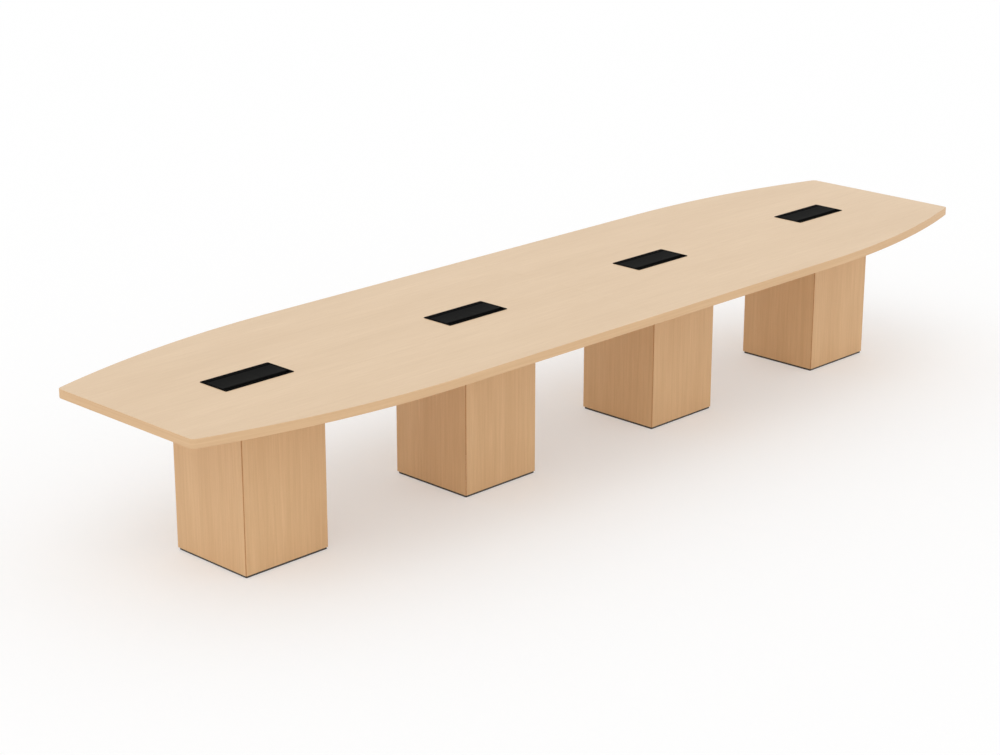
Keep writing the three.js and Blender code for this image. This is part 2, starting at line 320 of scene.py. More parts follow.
def fineFinish(look):
    finish, tree, shader = newFinish(look["name"])
    cloud = spread(tree, grainNoise(tree, faintCloud["scale"], faintCloud["detail"]), *faintCloud["range"])
    grain = grainNoise(tree, look["grain"], fineGrain["detail"], fineGrain["roughness"])
    tone = mixTones(tree, cloud, look["low"], look["high"])
    # a painted sheen, where asked: the tone darkens across the piece towards the far side
    if "paintedSheenSpan" in look:
        tone = mixTones(tree, spread(tree, towardsFarSide(tree), *look["paintedSheenSpan"]), tone, look["paintedSheenFarTone"])
    tree.links.new(tone, shader.inputs["Base Color"])
    tree.links.new(spread(tree, grain, *fineGrain["range"], *look["roughness"]), shader.inputs["Roughness"])
    shader.inputs["Specular IOR Level"].default_value = look["specular"]
    shader.inputs["Metallic"].default_value = look.get("metallic", 0.0)
    addBump(tree, shader, grain, look["bump"])
    return finish


blackPlastic = fineFinish({
    "name": "moulded black plastic",
    "low": (0.0016, 0.0016, 0.0017),
    "high": (0.0024, 0.0024, 0.0025),
    "grain": (1800, 1800, 1800),                  # specks to the metre along each axis
    "roughness": (0.62, 0.78),
    "specular": 0.01,
    "bump": 0.12,
})

lidCoat = fineFinish({
    "name": "dark coated lid",
    "low": (0.0100, 0.0100, 0.0094),
    "high": (0.0126, 0.0126, 0.0118),
    "paintedSheenSpan": (-0.049, 0.053),                      # painted sheen: lighter at the near edge, darker towards the far side, as a reflection would fall
    "paintedSheenFarTone": (0.0048, 0.0048, 0.0045),
    "grain": (60, 2600, 2600),                    # brushed along the lid
    "roughness": (0.62, 0.78),
    "specular": 0.02,
    "bump": 0.10,
})

tubCoat = fineFinish({
    "name": "black powder coat",
    "low": (0.0060, 0.0060, 0.0062),
    "high": (0.0090, 0.0090, 0.0092),
    "grain": (700, 700, 700),
    "roughness": (0.50, 0.65),
    "specular": 0.3,
    "bump": 0.25,
})

socketPlastic = fineFinish({
    "name": "socket housing plastic",
    "low": (0.012, 0.012, 0.0125),
    "high": (0.017, 0.017, 0.0175),
    "grain": (1500, 1500, 1500),
    "roughness": (0.40, 0.52),
    "specular": 0.4,
    "bump": 0.10,
})

outletPlastic = fineFinish({
    "name": "outlet plastic",
    "low": (0.035, 0.035, 0.036),
    "high": (0.043, 0.043, 0.044),
    "grain": (1500, 1500, 1500),
    "roughness": (0.28, 0.36),
    "specular": 0.5,
    "bump": 0.04,
})

plinthPaint = fineFinish({
    "name": "painted plinth",
    "low": (0.058, 0.052, 0.046),
    "high": (0.075, 0.068, 0.060),
    "grain": (420, 420, 420),
    "roughness": (0.55, 0.70),
    "specular": 0.3,
    "bump": 0.15,
})

bareSteel = fineFinish({
    "name": "zinc plated steel",
    "low": (0.50, 0.50, 0.51),
    "high": (0.60, 0.60, 0.60),
    "grain": (260, 260, 260),
    "roughness": (0.30, 0.44),
    "specular": 0.5,
    "metallic": 1.0,
    "bump": 0.05,
})
print("finishes made")


# Mesh helpers: every piece is drawn in millimetres and brought to metres when it is finished
mergeGap = 0.002                                  # vertices closer than this become one
sameLevel = 0.01                                  # points closer than this along an axis are level
creaseAngle = 50                                  # degrees, past which an edge is shaded sharp


def only(kind, elements):
    return [element for element in elements if isinstance(element, kind)]


def edgesOf(verts):
    return list(dict.fromkeys(edge for vert in verts for edge in vert.link_edges))


def isLevel(edge, axis=zAxis):                    # both of its ends lie equally far along the axis
    first, second = edge.verts
    return abs(first.co[axis] - second.co[axis]) < sameLevel


def sharpEdges(bm, angle=30):
    return [e for e in bm.edges if len(e.link_faces) == 2 and e.calc_face_angle() > radians(angle)]


def soften(bm, edges, size, steps=2):
    bmesh.ops.bevel(bm, geom=edges, affect="EDGES", offset=size, offset_type="OFFSET", segments=steps,
                    profile=0.5, material=-1, clamp_overlap=True)


def roundedLoop(bm, halfX, halfY, radius, z, centre=(0.0, 0.0), steps=5):
    x, y = centre
    signs = ((1, -1), (1, 1), (-1, 1), (-1, -1))
    corners = [bm.verts.new((x + right * halfX, y + far * halfY, z)) for right, far in signs]
    for i in range(4):
        bm.edges.new((corners[i - 1], corners[i]))
    made = bmesh.ops.bevel(bm, geom=corners, affect="VERTICES", offset=radius, segments=steps,
                           profile=0.5, material=-1)
    return edgesOf(made["verts"])


def circleLoop(bm, radius, sides, centre=(0.0, 0.0, 0.0)):
    made = bmesh.ops.create_circle(bm, cap_ends=False, radius=radius, segments=sides,
                                   matrix=Matrix.Translation(centre))
    return edgesOf(made["verts"])


def extrudeFaces(bm, faces, move):
    made = bmesh.ops.extrude_face_region(bm, geom=faces)["geom"]
    bmesh.ops.translate(bm, verts=only(BMVert, made), vec=move)
    bmesh.ops.recalc_face_normals(bm, faces=bm.faces)


def plateFromLoops(bm, edges, height):            # fills an outline, with any holes in it, and thickens it
    made = bmesh.ops.triangle_fill(bm, use_beauty=True, edges=edges, normal=(0, 0, 1))["geom"]
    extrudeFaces(bm, only(BMFace, made), (0, 0, height))


def joinLoops(bm, first, second):                 # a flat ring, or a wall where one loop is above the other
    rise = first[0].verts[0].co.z - second[0].verts[0].co.z
    if abs(rise) < sameLevel:
        bmesh.ops.triangle_fill(bm, use_beauty=True, edges=first + second, normal=(0, 0, 1))
    else:
        bmesh.ops.bridge_loops(bm, edges=first + second)


def boardFromSection(corners, foot, head):        # an upright board from its plan section
    bm = bmesh.new()
    face = bm.faces.new([bm.verts.new((x, y, foot)) for x, y in corners])
    extrudeFaces(bm, [face], (0, 0, head - foot))
    return bm


def addBlock(bm, x, y, z):
    middle = [(low + high) / 2 for low, high in (x, y, z)]
    size = [high - low for low, high in (x, y, z)]
    place = Matrix.Translation(middle) @ Matrix.Diagonal((*size, 1))
    return bmesh.ops.create_cube(bm, size=1.0, matrix=place)["verts"]


def addRod(bm, rod, length, middle, axis):        # a round rod along X or upright, with softened ends
    turn = Matrix.Rotation(pi / 2 if axis == xAxis else 0, 4, "Y")
    verts = bmesh.ops.create_cone(bm, cap_ends=True, cap_tris=False, segments=rod["sides"],
                                  radius1=rod["radius"], radius2=rod["radius"], depth=length,
                                  matrix=Matrix.Translation(middle) @ turn)["verts"]
    bmesh.ops.recalc_face_normals(bm, faces=bm.faces)
    soften(bm, [e for e in edgesOf(verts) if isLevel(e, axis)], rod["endRound"])


def addCopy(bm, part):                            # takes a finished shape into a larger one
    mesh = bpy.data.meshes.new("part")
    part.to_mesh(mesh)
    part.free()
    bm.from_mesh(mesh)
    bpy.data.meshes.remove(mesh)


def addPiece(name, bm, finishes, body, nodes=(), shift=(0.0, 0.0, 0.0)):
    bmesh.ops.remove_doubles(bm, verts=bm.verts, dist=mergeGap)
    bmesh.ops.recalc_face_normals(bm, faces=bm.faces)
    for face in bm.faces:
        face.smooth = True
    for edge in sharpEdges(bm, creaseAngle):
        edge.smooth = False
    bmesh.ops.translate(bm, verts=bm.verts, vec=shift)
    bmesh.ops.scale(bm, verts=bm.verts, vec=(1 / metre, 1 / metre, 1 / metre))
    mesh = bpy.data.meshes.new(name)
    bm.to_mesh(mesh)
    bm.free()
    for finish in finishes:
        mesh.materials.append(finish)
    piece = bpy.data.objects.new(name, mesh)
    scene.collection.objects.link(piece)
    normals = piece.modifiers.new("flat faces stay flat", "WEIGHTED_NORMAL")
    normals.keep_sharp = True
    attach(piece, body)
    if nodes:
        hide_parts(*nodes)


# The boat-shaped top: two halves that meet in the middle, each with its edge strip
tableTop = {
    "length": 2 * reach("edge_band_right", xAxis)[1],
    "width": span("edge_band_right", yAxis),      # across the straight middle
    "endWidth": 838.2,
    "straight": 2438.4,
    "cornerRadius": 25.0,
    "seam": 0.5,
    "band": 3.0,
    "glueLine": 0.2,
    "bandRound": 2.0,
    "bandRoundSteps": 5,
    "bowSteps": 48,
    "cornerSteps": 8,
}
underside, worktop = reach("edge_band_right", zAxis)
topThickness = worktop - underside

cableBox = {
    "length": span("box1_bezel", xAxis),
    "width": span("box1_bezel", yAxis),
    "proud": reach("box1_bezel", zAxis)[1] - worktop,
    "seat": 0.1,
    "cornerRadius": 5.0,
    "rimSide": 9.0,
    "rimFar": 27.0,
    "rimRound": 0.9,
    "rimRoundSteps": 3,
    "skirtWall": 2.0,
    "skirtDepth": 16.0,
    "skirtRadius": 4.0,
    "mouthRadius": 2.0,
    "cutoutGap": 1.0,
}
mouthX = cableBox["length"] / 2 - cableBox["rimSide"]
mouthNear = cableBox["rimSide"] - cableBox["width"] / 2
mouthFar = cableBox["width"] / 2 - cableBox["rimFar"]
mouthY = (mouthFar - mouthNear) / 2
mouthCentre = (0, (mouthFar + mouthNear) / 2)
skirtX = mouthX + cableBox["skirtWall"]
skirtNear = mouthNear - cableBox["skirtWall"]


# Traces the near side of the right half from the seam to the middle of the end, a set distance inside
# the edge. The board's outline starts in the middle of the seam, the strip's at the near edge.
def traceNearSide(bm, inset, fromMiddle):
    bowRun = (tableTop["length"] - tableTop["straight"]) / 2
    bowDrop = (tableTop["width"] - tableTop["endWidth"]) / 2
    bow = (bowRun ** 2 + bowDrop ** 2) / (2 * bowDrop) - inset
    corner = tableTop["cornerRadius"] - inset
    halfWidth = tableTop["width"] / 2 - inset
    endX = tableTop["length"] / 2 - inset
    bowX = tableTop["straight"] / 2
    bowY = bow - halfWidth
    cornerX = endX - corner
    cornerY = bowY - sqrt((bow - corner) ** 2 - (cornerX - bowX) ** 2)
    bowTurn = asin((cornerX - bowX) / (bow - corner))

    def run(vert, x, y):
        made = bmesh.ops.extrude_vert_indiv(bm, verts=[vert])["verts"][0]
        made.co = (x, y, underside)
        return made

    def sweep(vert, x, y, turn, steps):
        made = bmesh.ops.spin(bm, geom=[vert], cent=(x, y, underside), axis=(0, 0, 1), dvec=(0, 0, 0),
                              angle=turn, steps=steps)
        return only(BMVert, made["geom_last"])[0]

    seamX = tableTop["seam"] / 2
    tip = bm.verts.new((seamX, 0 if fromMiddle else -halfWidth, underside))
    if fromMiddle:
        tip = run(tip, seamX, -halfWidth)
    tip = run(tip, bowX, -halfWidth)
    tip = sweep(tip, bowX, bowY, bowTurn, tableTop["bowSteps"])
    tip = sweep(tip, cornerX, cornerY, pi / 2 - bowTurn, tableTop["cornerSteps"])
    run(tip, endX, 0)


def mirrorToFarSide(bm):
    bmesh.ops.mirror(bm, geom=bm.verts[:] + bm.edges[:], axis="Y", merge_dist=mergeGap)
    bmesh.ops.remove_doubles(bm, verts=bm.verts, dist=mergeGap)


def facesDown(face):
    return face.normal.z < -0.5


def facesOutwards(face):                          # an upright face that looks away from the table's middle
    return abs(face.normal.z) < 0.1 and face.normal.xy.dot(face.calc_center_median().xy) > 0


def makeTopHalf(side, turn):
    turned = Matrix.Rotation(turn, 3, "Z")
    bm = bmesh.new()
    traceNearSide(bm, tableTop["band"] + tableTop["glueLine"], True)
    mirrorToFarSide(bm)
    edges = bm.edges[:]
    gap = cableBox["cutoutGap"]
    for x in stations[len(stations) // 2:]:       # the boxes in the right half
        edges += roundedLoop(bm, skirtX + gap, gap - skirtNear, cableBox["cornerRadius"], underside, (x, 0))
    plateFromLoops(bm, edges, topThickness)
    for face in bm.faces:
        face.material_index = 1 if facesDown(face) else 0
    bmesh.ops.rotate(bm, verts=bm.verts, cent=(0, 0, 0), matrix=turned)
    addPiece(f"top_board_{side}", bm, [worktopMaple, backerSheet], "table",
             [f"top_half_{side}"])

    bm = bmesh.new()
    traceNearSide(bm, 0, False)
    traceNearSide(bm, tableTop["band"], False)
    mirrorToFarSide(bm)
    ribbon = bmesh.ops.bridge_loops(bm, edges=bm.edges[:])["faces"]
    extrudeFaces(bm, ribbon, (0, 0, topThickness))
    rims = [e for e in sharpEdges(bm) if isLevel(e) and any(facesOutwards(f) for f in e.link_faces)]
    soften(bm, rims, tableTop["bandRound"], tableTop["bandRoundSteps"])
    bmesh.ops.rotate(bm, verts=bm.verts, cent=(0, 0, 0), matrix=turned)
    addPiece(f"edge_strip_{side}", bm, [edgeMaple], "table", [f"edge_band_{side}"])


makeTopHalf("right", 0)
makeTopHalf("left", pi)
print("top made")


# Screws with a hexagon socket, drawn with the head up and turned into place
screwHead = {
    "radius": 4.2,
    "sides": 20,
    "height": 1.6,
    "round": 0.7,
    "roundSteps": 3,
    "socket": 2.0,                                # radius
    "socketDepth": 1.1,
}
hexagon = 6
headDown = Matrix.Rotation(pi, 4, "X")


def addScrew(bm, place):
    head = bmesh.new()
    top = (0, 0, screwHead["height"])
    rim = circleLoop(head, screwHead["radius"], screwHead["sides"], top)
    socket = circleLoop(head, screwHead["socket"], hexagon, top)
    bmesh.ops.triangle_fill(head, use_beauty=True, edges=rim + socket, normal=(0, 0, 1))
    for loop, drop in ((rim, screwHead["height"]), (socket, screwHead["socketDepth"])):
        made = bmesh.ops.extrude_edge_only(head, edges=loop)["geom"]
        bmesh.ops.translate(head, verts=only(BMVert, made), vec=(0, 0, -drop))
        bmesh.ops.edgeloop_fill(head, edges=[e for e in only(BMEdge, made) if e.is_boundary])
    bmesh.ops.recalc_face_normals(head, faces=head.faces)
    soften(head, rim, screwHead["round"], screwHead["roundSteps"])
    bmesh.ops.transform(head, matrix=place, verts=head.verts)
    addCopy(bm, head)


# Steel plates under the seam
seamPlate = {
    "length": 220.0,
    "width": 60.0,
    "thickness": 4.0,
    "cornerRadius": 8.0,
    "edge": 0.6,
    "y": {"near": -340.0, "middle": 0.0, "far": 340.0},
    "screwX": (-85, -35, 35, 85),
}


def makeSeamPlate(where, y):
    foot = underside - seamPlate["thickness"]
    halfX, halfY = seamPlate["length"] / 2, seamPlate["width"] / 2
    bm = bmesh.new()
    edges = roundedLoop(bm, halfX, halfY, seamPlate["cornerRadius"], foot, (0, y))
    plateFromLoops(bm, edges, seamPlate["thickness"])
    soften(bm, sharpEdges(bm), seamPlate["edge"])
    addPiece(f"seam_strap_{where}", bm, [bareSteel], "table", [f"seam_plate_{where}"])
    bm = bmesh.new()
    for x in seamPlate["screwX"]:
        addScrew(bm, Matrix.Translation((x, y, foot)) @ headDown)
    addPiece(f"seam_screws_{where}", bm, [bareSteel], "table")


for where, y in seamPlate["y"].items():
    makeSeamPlate(where, y)
print("seam plates made")


# Cube bases: three fixed boards, a door on the far side, a plinth and the board that carries the top
base = {
    "side": reach("base1_right_panel", xAxis)[1] - reach("base1_left_panel", xAxis)[0],
    "board": 19.0,
    "quirk": 3.0,                                 # notch along each near upright corner
    "mitreGap": 0.2,
    "edge": 0.5,
}
baseHalf = base["side"] / 2
insideHalf = baseHalf - base["board"]
plinthHead = reach("base1_plinth", zAxis)[1]

door = {"reveal": 2.0, "endGap": 1.5, "chamfer": 4.0, "edge": 0.8, "edgeSteps": 3}


def isCutFace(face):                              # in a near corner, set back from both outer faces
    x, y = face.calc_center_median().xy
    outer = baseHalf - base["edge"] / 2
    inner = insideHalf + base["edge"]
    return inner < abs(x) < outer and inner < -y < outer


def makeBaseBoards(number, x):
    notch = baseHalf - base["quirk"]
    mitre = [
        (notch - base["mitreGap"], -baseHalf),
        (notch - base["mitreGap"], -notch),
        (insideHalf - base["mitreGap"], -insideHalf),
    ]
    besideDoor = [
        (baseHalf, baseHalf),
        (insideHalf + door["chamfer"], baseHalf),
        (insideHalf, baseHalf - door["chamfer"]),
    ]
    right = [(-py, -px) for px, py in reversed(mitre)] + besideDoor
    sections = {
        "front": mitre + [(-px, py) for px, py in reversed(mitre)],
        "left": [(-px, py) for px, py in right],
        "right": right,
    }
    for place, section in sections.items():
        bm = boardFromSection(section, plinthHead, underside)
        soften(bm, sharpEdges(bm), base["edge"])
        for face in bm.faces:
            # notch faces take the cut core's tone, which also paints the shade in the notch
            face.material_index = 1 if isCutFace(face) else 0
        addPiece(f"base{number}_{place}_board", bm, [baseMaple, cutEdgeAndShade], "table",
                 [f"base{number}_{place}_panel"], (x, 0, 0))


def makeDoor(number, x):
    side = insideHalf - door["reveal"]
    section = [
        (side, insideHalf),
        (side, baseHalf),
        (door["chamfer"] - side, baseHalf),
        (-side, baseHalf - door["chamfer"]),
        (-side, insideHalf),
    ]
    bm = boardFromSection(section, plinthHead + door["endGap"], underside - door["endGap"])
    soften(bm, sharpEdges(bm), door["edge"], door["edgeSteps"])
    addPiece(f"base{number}_door_board", bm, [baseMaple], f"door_{number}",
             [f"base{number}_door"], (x, 0, 0))


# Continuous hinge: knuckles in turn on the side board's leaf and on the door's leaf
doorHinge = {
    "endGap": 22.0,                               # from the door's top and bottom
    "knuckles": 25,
    "knuckleGap": 0.3,
    "knuckle": {"radius": 3.0, "sides": 20, "endRound": 0.4},
    "leafWidth": 14.0,
    "leafTop": 3.2,                               # from the barrel's axis to the leaf
    "fixedLeaf": (0.2, 1.1),                      # from the side board's inner face
    "movingLeaf": (1.25, 1.95),
    "screws": 5,
    "screwScale": (0.7, 0.7, 0.05, 1),            # heads almost flush with the leaf
}


def makeDoorHinge(number, x):
    foot = plinthHead + door["endGap"] + doorHinge["endGap"]
    head = underside - door["endGap"] - doorHinge["endGap"]
    step = (head - foot) / doorHinge["knuckles"]
    axisX = door["reveal"] / 2 - insideHalf
    barrelNear = baseHalf - doorHinge["knuckle"]["radius"] / 2
    leafFar = baseHalf - doorHinge["leafTop"]
    leafNear = leafFar - doorHinge["leafWidth"]

    def makeLeaf(leaf, firstKnuckle, screwFace, screwTurn):
        leafX = [edge - insideHalf for edge in leaf]
        bm = bmesh.new()
        addBlock(bm, leafX, (leafNear, leafFar), (foot, head))
        for index in range(firstKnuckle, doorHinge["knuckles"], 2):
            low = foot + index * step + doorHinge["knuckleGap"] / 2
            high = low + step - doorHinge["knuckleGap"]
            addBlock(bm, leafX, (leafFar, barrelNear), (low, high))
            addRod(bm, doorHinge["knuckle"], high - low, (axisX, baseHalf, (low + high) / 2), zAxis)
        for index in range(doorHinge["screws"]):
            z = foot + (head - foot) * (index + 0.5) / doorHinge["screws"]
            place = Matrix.Translation((leafX[screwFace], (leafNear + leafFar) / 2, z))
            turned = place @ Matrix.Rotation(screwTurn, 4, "Y")
            addScrew(bm, turned @ Matrix.Diagonal(doorHinge["screwScale"]))
        return bm

    fixed = makeLeaf(doorHinge["fixedLeaf"], firstKnuckle=0, screwFace=1, screwTurn=pi / 2)
    addPiece(f"base{number}_hinge_fixed", fixed, [bareSteel], "table",
             [f"base{number}_door_hinge"], (x, 0, 0))
    moving = makeLeaf(doorHinge["movingLeaf"], firstKnuckle=1, screwFace=0, screwTurn=-pi / 2)
    addPiece(f"base{number}_hinge_moving", moving, [bareSteel], f"door_{number}", [], (x, 0, 0))


plinth = {"inset": 5.0, "width": 45.0, "outerCorner": 2.0, "innerCorner": 6.0}


def makePlinth(number, x):
    outer = baseHalf - plinth["inset"]
    inner = outer - plinth["width"]
    bm = bmesh.new()
    edges = roundedLoop(bm, outer, outer, plinth["outerCorner"], 0)
    edges += roundedLoop(bm, inner, inner, plinth["innerCorner"], 0)
    plateFromLoops(bm, edges, plinthHead)
    addPiece(f"base{number}_foot_ring", bm, [plinthPaint], "table",
             [f"base{number}_plinth"], (x, 0, 0))


mountingBoard = {
    "clearance": 0.3,
    "corner": 1.0,
    "holeGap": 5.0,                               # round the cable box's skirt
    "holeCorner": 8.0,
    "sideScrewX": (-184, 184),
    "sideScrewY": (-150, 0, 150),
    "endScrews": ((0, -140), (0, 140)),
    "screwScale": 1.2,
}


def makeMountingBoard(number, x):
    half = insideHalf - mountingBoard["clearance"]
    gap = mountingBoard["holeGap"]
    foot = underside - base["board"]
    bm = bmesh.new()
    edges = roundedLoop(bm, half, half, mountingBoard["corner"], foot)
    edges += roundedLoop(bm, skirtX + gap, gap - skirtNear, mountingBoard["holeCorner"], foot)
    plateFromLoops(bm, edges, base["board"])
    addPiece(f"base{number}_fixing_board", bm, [rawBoard], "table",
             [f"base{number}_mounting_plate"], (x, 0, 0))
    screws = [(px, py) for px in mountingBoard["sideScrewX"] for py in mountingBoard["sideScrewY"]]
    screws += mountingBoard["endScrews"]
    bm = bmesh.new()
    for px, py in screws:
        place = Matrix.Translation((px, py, foot)) @ headDown
        addScrew(bm, place @ Matrix.Scale(mountingBoard["screwScale"], 4))
    addPiece(f"base{number}_fixing_screws", bm, [bareSteel], "table", [], (x, 0, 0))


for number, x in zip(baseNumbers, stations):
    makeBaseBoards(number, x)
    makeDoor(number, x)
    makeDoorHinge(number, x)
    makePlinth(number, x)
    makeMountingBoard(number, x)
print("bases made")


# Cable boxes, drawn with the worktop at zero
lid = {
    "thickness": 4.0,
    "sideGap": 1.0,
    "front": -49.0,                               # the cable slot lies between this edge and the near rim
    "edge": 0.8,
    "edgeSteps": 3,
    "hingeToRim": 7.0,
    "hingeToBack": 4.0,
    "hingeDrop": 5.0,                             # hinge axis below the lid's upper face
    "knuckle": {"radius": 4.0, "sides": 24, "endRound": 0.5},
    "knuckleLength": 34.0,
    "knuckleX": (-130, 0, 130),
    "lipThickness": 2.0,
    "lipDepth": 9.0,
    "lipEndGap": 1.0,
    "lipSetBack": 0.1,                            # behind the lid's near edge
    "lipOverlap": 0.5,                            # up into the lid
    "lipEdge": 0.6,
}
lidRest = {"reach": 4.0, "thickness": 3.0, "y": (-36.0, 40.0), "gap": 0.3, "edge": 0.4}
hingePin = {"radius": 2.0, "sides": 20, "endRound": 0.4, "endGap": 0.5}
hingeY = mouthFar - lid["hingeToRim"]
hingeZ = cableBox["proud"] - lid["hingeDrop"]


def makeRim(number, x):
    top, seat, foot = cableBox["proud"], cableBox["seat"], -cableBox["skirtDepth"]
    halfX, halfY = cableBox["length"] / 2, cableBox["width"] / 2
    skirtY = mouthY + cableBox["skirtWall"]
    bm = bmesh.new()
    loops = [
        roundedLoop(bm, halfX, halfY, cableBox["cornerRadius"], top),
        roundedLoop(bm, halfX, halfY, cableBox["cornerRadius"], seat),
        roundedLoop(bm, skirtX, skirtY, cableBox["skirtRadius"], seat, mouthCentre),
        roundedLoop(bm, skirtX, skirtY, cableBox["skirtRadius"], foot, mouthCentre),
        roundedLoop(bm, mouthX, mouthY, cableBox["mouthRadius"], foot, mouthCentre),
        roundedLoop(bm, mouthX, mouthY, cableBox["mouthRadius"], top, mouthCentre),
    ]
    for loop, nextLoop in zip(loops, loops[1:] + loops[:1]):
        joinLoops(bm, loop, nextLoop)
    bmesh.ops.recalc_face_normals(bm, faces=bm.faces)
    upper = [e for e in sharpEdges(bm) if all(abs(v.co.z - top) < sameLevel for v in e.verts)]
    soften(bm, upper, cableBox["rimRound"], cableBox["rimRoundSteps"])
    restTop = top - lid["thickness"] - lidRest["gap"]
    for side in (-1, 1):
        restX = sorted((side * (mouthX - lidRest["reach"]), side * (mouthX + cableBox["skirtWall"] / 2)))
        verts = addBlock(bm, restX, lidRest["y"], (restTop - lidRest["thickness"], restTop))
        soften(bm, edgesOf(verts), lidRest["edge"])
    addPiece(f"box{number}_rim", bm, [blackPlastic], "table",
             [f"box{number}_bezel"], (x, 0, worktop))


def makeLid(number, x):
    half = mouthX - lid["sideGap"]
    top = cableBox["proud"]
    under = top - lid["thickness"]
    bm = bmesh.new()
    verts = addBlock(bm, (-half, half), (lid["front"], hingeY + lid["hingeToBack"]), (under, top))
    soften(bm, edgesOf(verts), lid["edge"], lid["edgeSteps"])
    lipHalf = half - lidRest["reach"] - lid["lipEndGap"]
    lipY = (lid["front"] + lid["lipSetBack"], lid["front"] + lid["lipThickness"])
    verts = addBlock(bm, (-lipHalf, lipHalf), lipY, (top - lid["lipDepth"], under + lid["lipOverlap"]))
    soften(bm, edgesOf(verts), lid["lipEdge"])
    for knuckleX in lid["knuckleX"]:
        addRod(bm, lid["knuckle"], lid["knuckleLength"], (knuckleX, hingeY, hingeZ), xAxis)
    addPiece(f"box{number}_flap", bm, [lidCoat], f"lid_{number}",
             [f"box{number}_lid"], (x, 0, worktop))

    bm = bmesh.new()
    addRod(bm, hingePin, 2 * (skirtX - hingePin["endGap"]), (0, hingeY, hingeZ), xAxis)
    addPiece(f"box{number}_pin", bm, [bareSteel], "table",
             [f"box{number}_hinge_rod"], (x, 0, worktop))


tub = {"depth": 95.0, "wall": 1.5, "rimDrop": 8.0, "cornerRadius": 2.0, "gap": 0.3}


def makeTub(number, x):
    outerX, outerY = mouthX - tub["gap"], mouthY - tub["gap"]
    innerX, innerY = outerX - tub["wall"], outerY - tub["wall"]
    foot, floor, head = -tub["depth"], tub["wall"] - tub["depth"], -tub["rimDrop"]
    bm = bmesh.new()
    loops = [
        roundedLoop(bm, outerX, outerY, tub["cornerRadius"], foot, mouthCentre),
        roundedLoop(bm, outerX, outerY, tub["cornerRadius"], head, mouthCentre),
        roundedLoop(bm, innerX, innerY, tub["cornerRadius"], head, mouthCentre),
        roundedLoop(bm, innerX, innerY, tub["cornerRadius"], floor, mouthCentre),
    ]
    for loop, nextLoop in zip(loops, loops[1:]):
        joinLoops(bm, loop, nextLoop)
    for loop in (loops[0], loops[-1]):
        bmesh.ops.edgeloop_fill(bm, edges=loop)
    addPiece(f"box{number}_well", bm, [tubCoat], "table",
             [f"box{number}_tub"], (x, 0, worktop))


socketBlock = {
    "halfLength": 155.0,
    "front": 5.0,
    "frontHeight": 7.0,
    "slope": 38.0,                                # rise and run of the sloping face
    "edge": 1.5,
    "edgeSteps": 3,
}
slopeFoot = tub["wall"] - tub["depth"] + tub["gap"] + socketBlock["frontHeight"]


def makeSocketBlock(number, x):
    foot = slopeFoot - socketBlock["frontHeight"]
    head = slopeFoot + socketBlock["slope"]
    front = socketBlock["front"]
    back = mouthFar - tub["wall"] - 2 * tub["gap"]
    slopeBack = front + socketBlock["slope"]
    section = [(back, foot), (back, head), (slopeBack, head), (front, slopeFoot), (front, foot)]
    bm = bmesh.new()
    end = bm.faces.new([bm.verts.new((-socketBlock["halfLength"], y, z)) for y, z in section])
    extrudeFaces(bm, [end], (2 * socketBlock["halfLength"], 0, 0))
    soften(bm, sharpEdges(bm), socketBlock["edge"], socketBlock["edgeSteps"])
    addPiece(f"box{number}_power_block", bm, [socketPlastic], "table",
             [f"box{number}_socket_block"], (x, 0, worktop))


# Inserts on the sloping face: power outlets on the left, data jacks on the right
insert = {
    "powerX": (-120, -60, 0),
    "dataX": (60, 120),
    "halfSize": (22.4, 19.4),
    "cornerRadius": 3.0,
    "thickness": 2.2,
    "blade": (1.1, 4.2, 0.3),                     # half width, half height and corner of a blade slot
    "bladeX": 6.35,
    "bladeY": 2.0,
    "earthRadius": 2.5,
    "earthSides": 14,
    "earthY": -9.0,
    "jack": (6.6, 5.8, 0.6),
    "jackX": 10.0,
}


def powerHoles(bm):
    edges = []
    for side in (-1, 1):
        edges += roundedLoop(bm, *insert["blade"], 0, (side * insert["bladeX"], insert["bladeY"]), steps=1)
    edges += circleLoop(bm, insert["earthRadius"], insert["earthSides"], (0, insert["earthY"], 0))
    return edges


def dataHoles(bm):
    edges = []
    for side in (-1, 1):
        edges += roundedLoop(bm, *insert["jack"], 0, (side * insert["jackX"], 0), steps=2)
    return edges


def makeInserts(number, x):
    halfSlope = socketBlock["slope"] / 2
    tilt = Matrix.Rotation(pi / 4, 4, "X")        # the face rises as much as it runs back
    bm = bmesh.new()
    for columns, makeHoles in ((insert["powerX"], powerHoles), (insert["dataX"], dataHoles)):
        for px in columns:
            plate = bmesh.new()
            edges = roundedLoop(plate, *insert["halfSize"], insert["cornerRadius"], 0)
            plateFromLoops(plate, edges + makeHoles(plate), insert["thickness"])
            place = Matrix.Translation((px, socketBlock["front"] + halfSlope, slopeFoot + halfSlope))
            bmesh.ops.transform(plate, matrix=place @ tilt, verts=plate.verts)
            addCopy(bm, plate)
    addPiece(f"box{number}_outlets", bm, [outletPlastic], "table", [], (x, 0, worktop))


gland = {
    "place": (130.0, 35.0),                       # under the socket block
    "bore": 4.0,
    "neck": 10.7,
    "tip": 8.5,
    "tipHeight": 11.0,
    "tipChamfer": (1.2, 1.4),                     # width and height
    "taper": (0.6, 6.0),                          # narrower than the neck, at this height above the tip
    "sides": 32,
    "nut": 15.0,
    "nutHeight": 7.0,
    "nutBoreGap": 0.2,
    "nutBoreSides": 24,
    "nutEdge": 0.6,
}


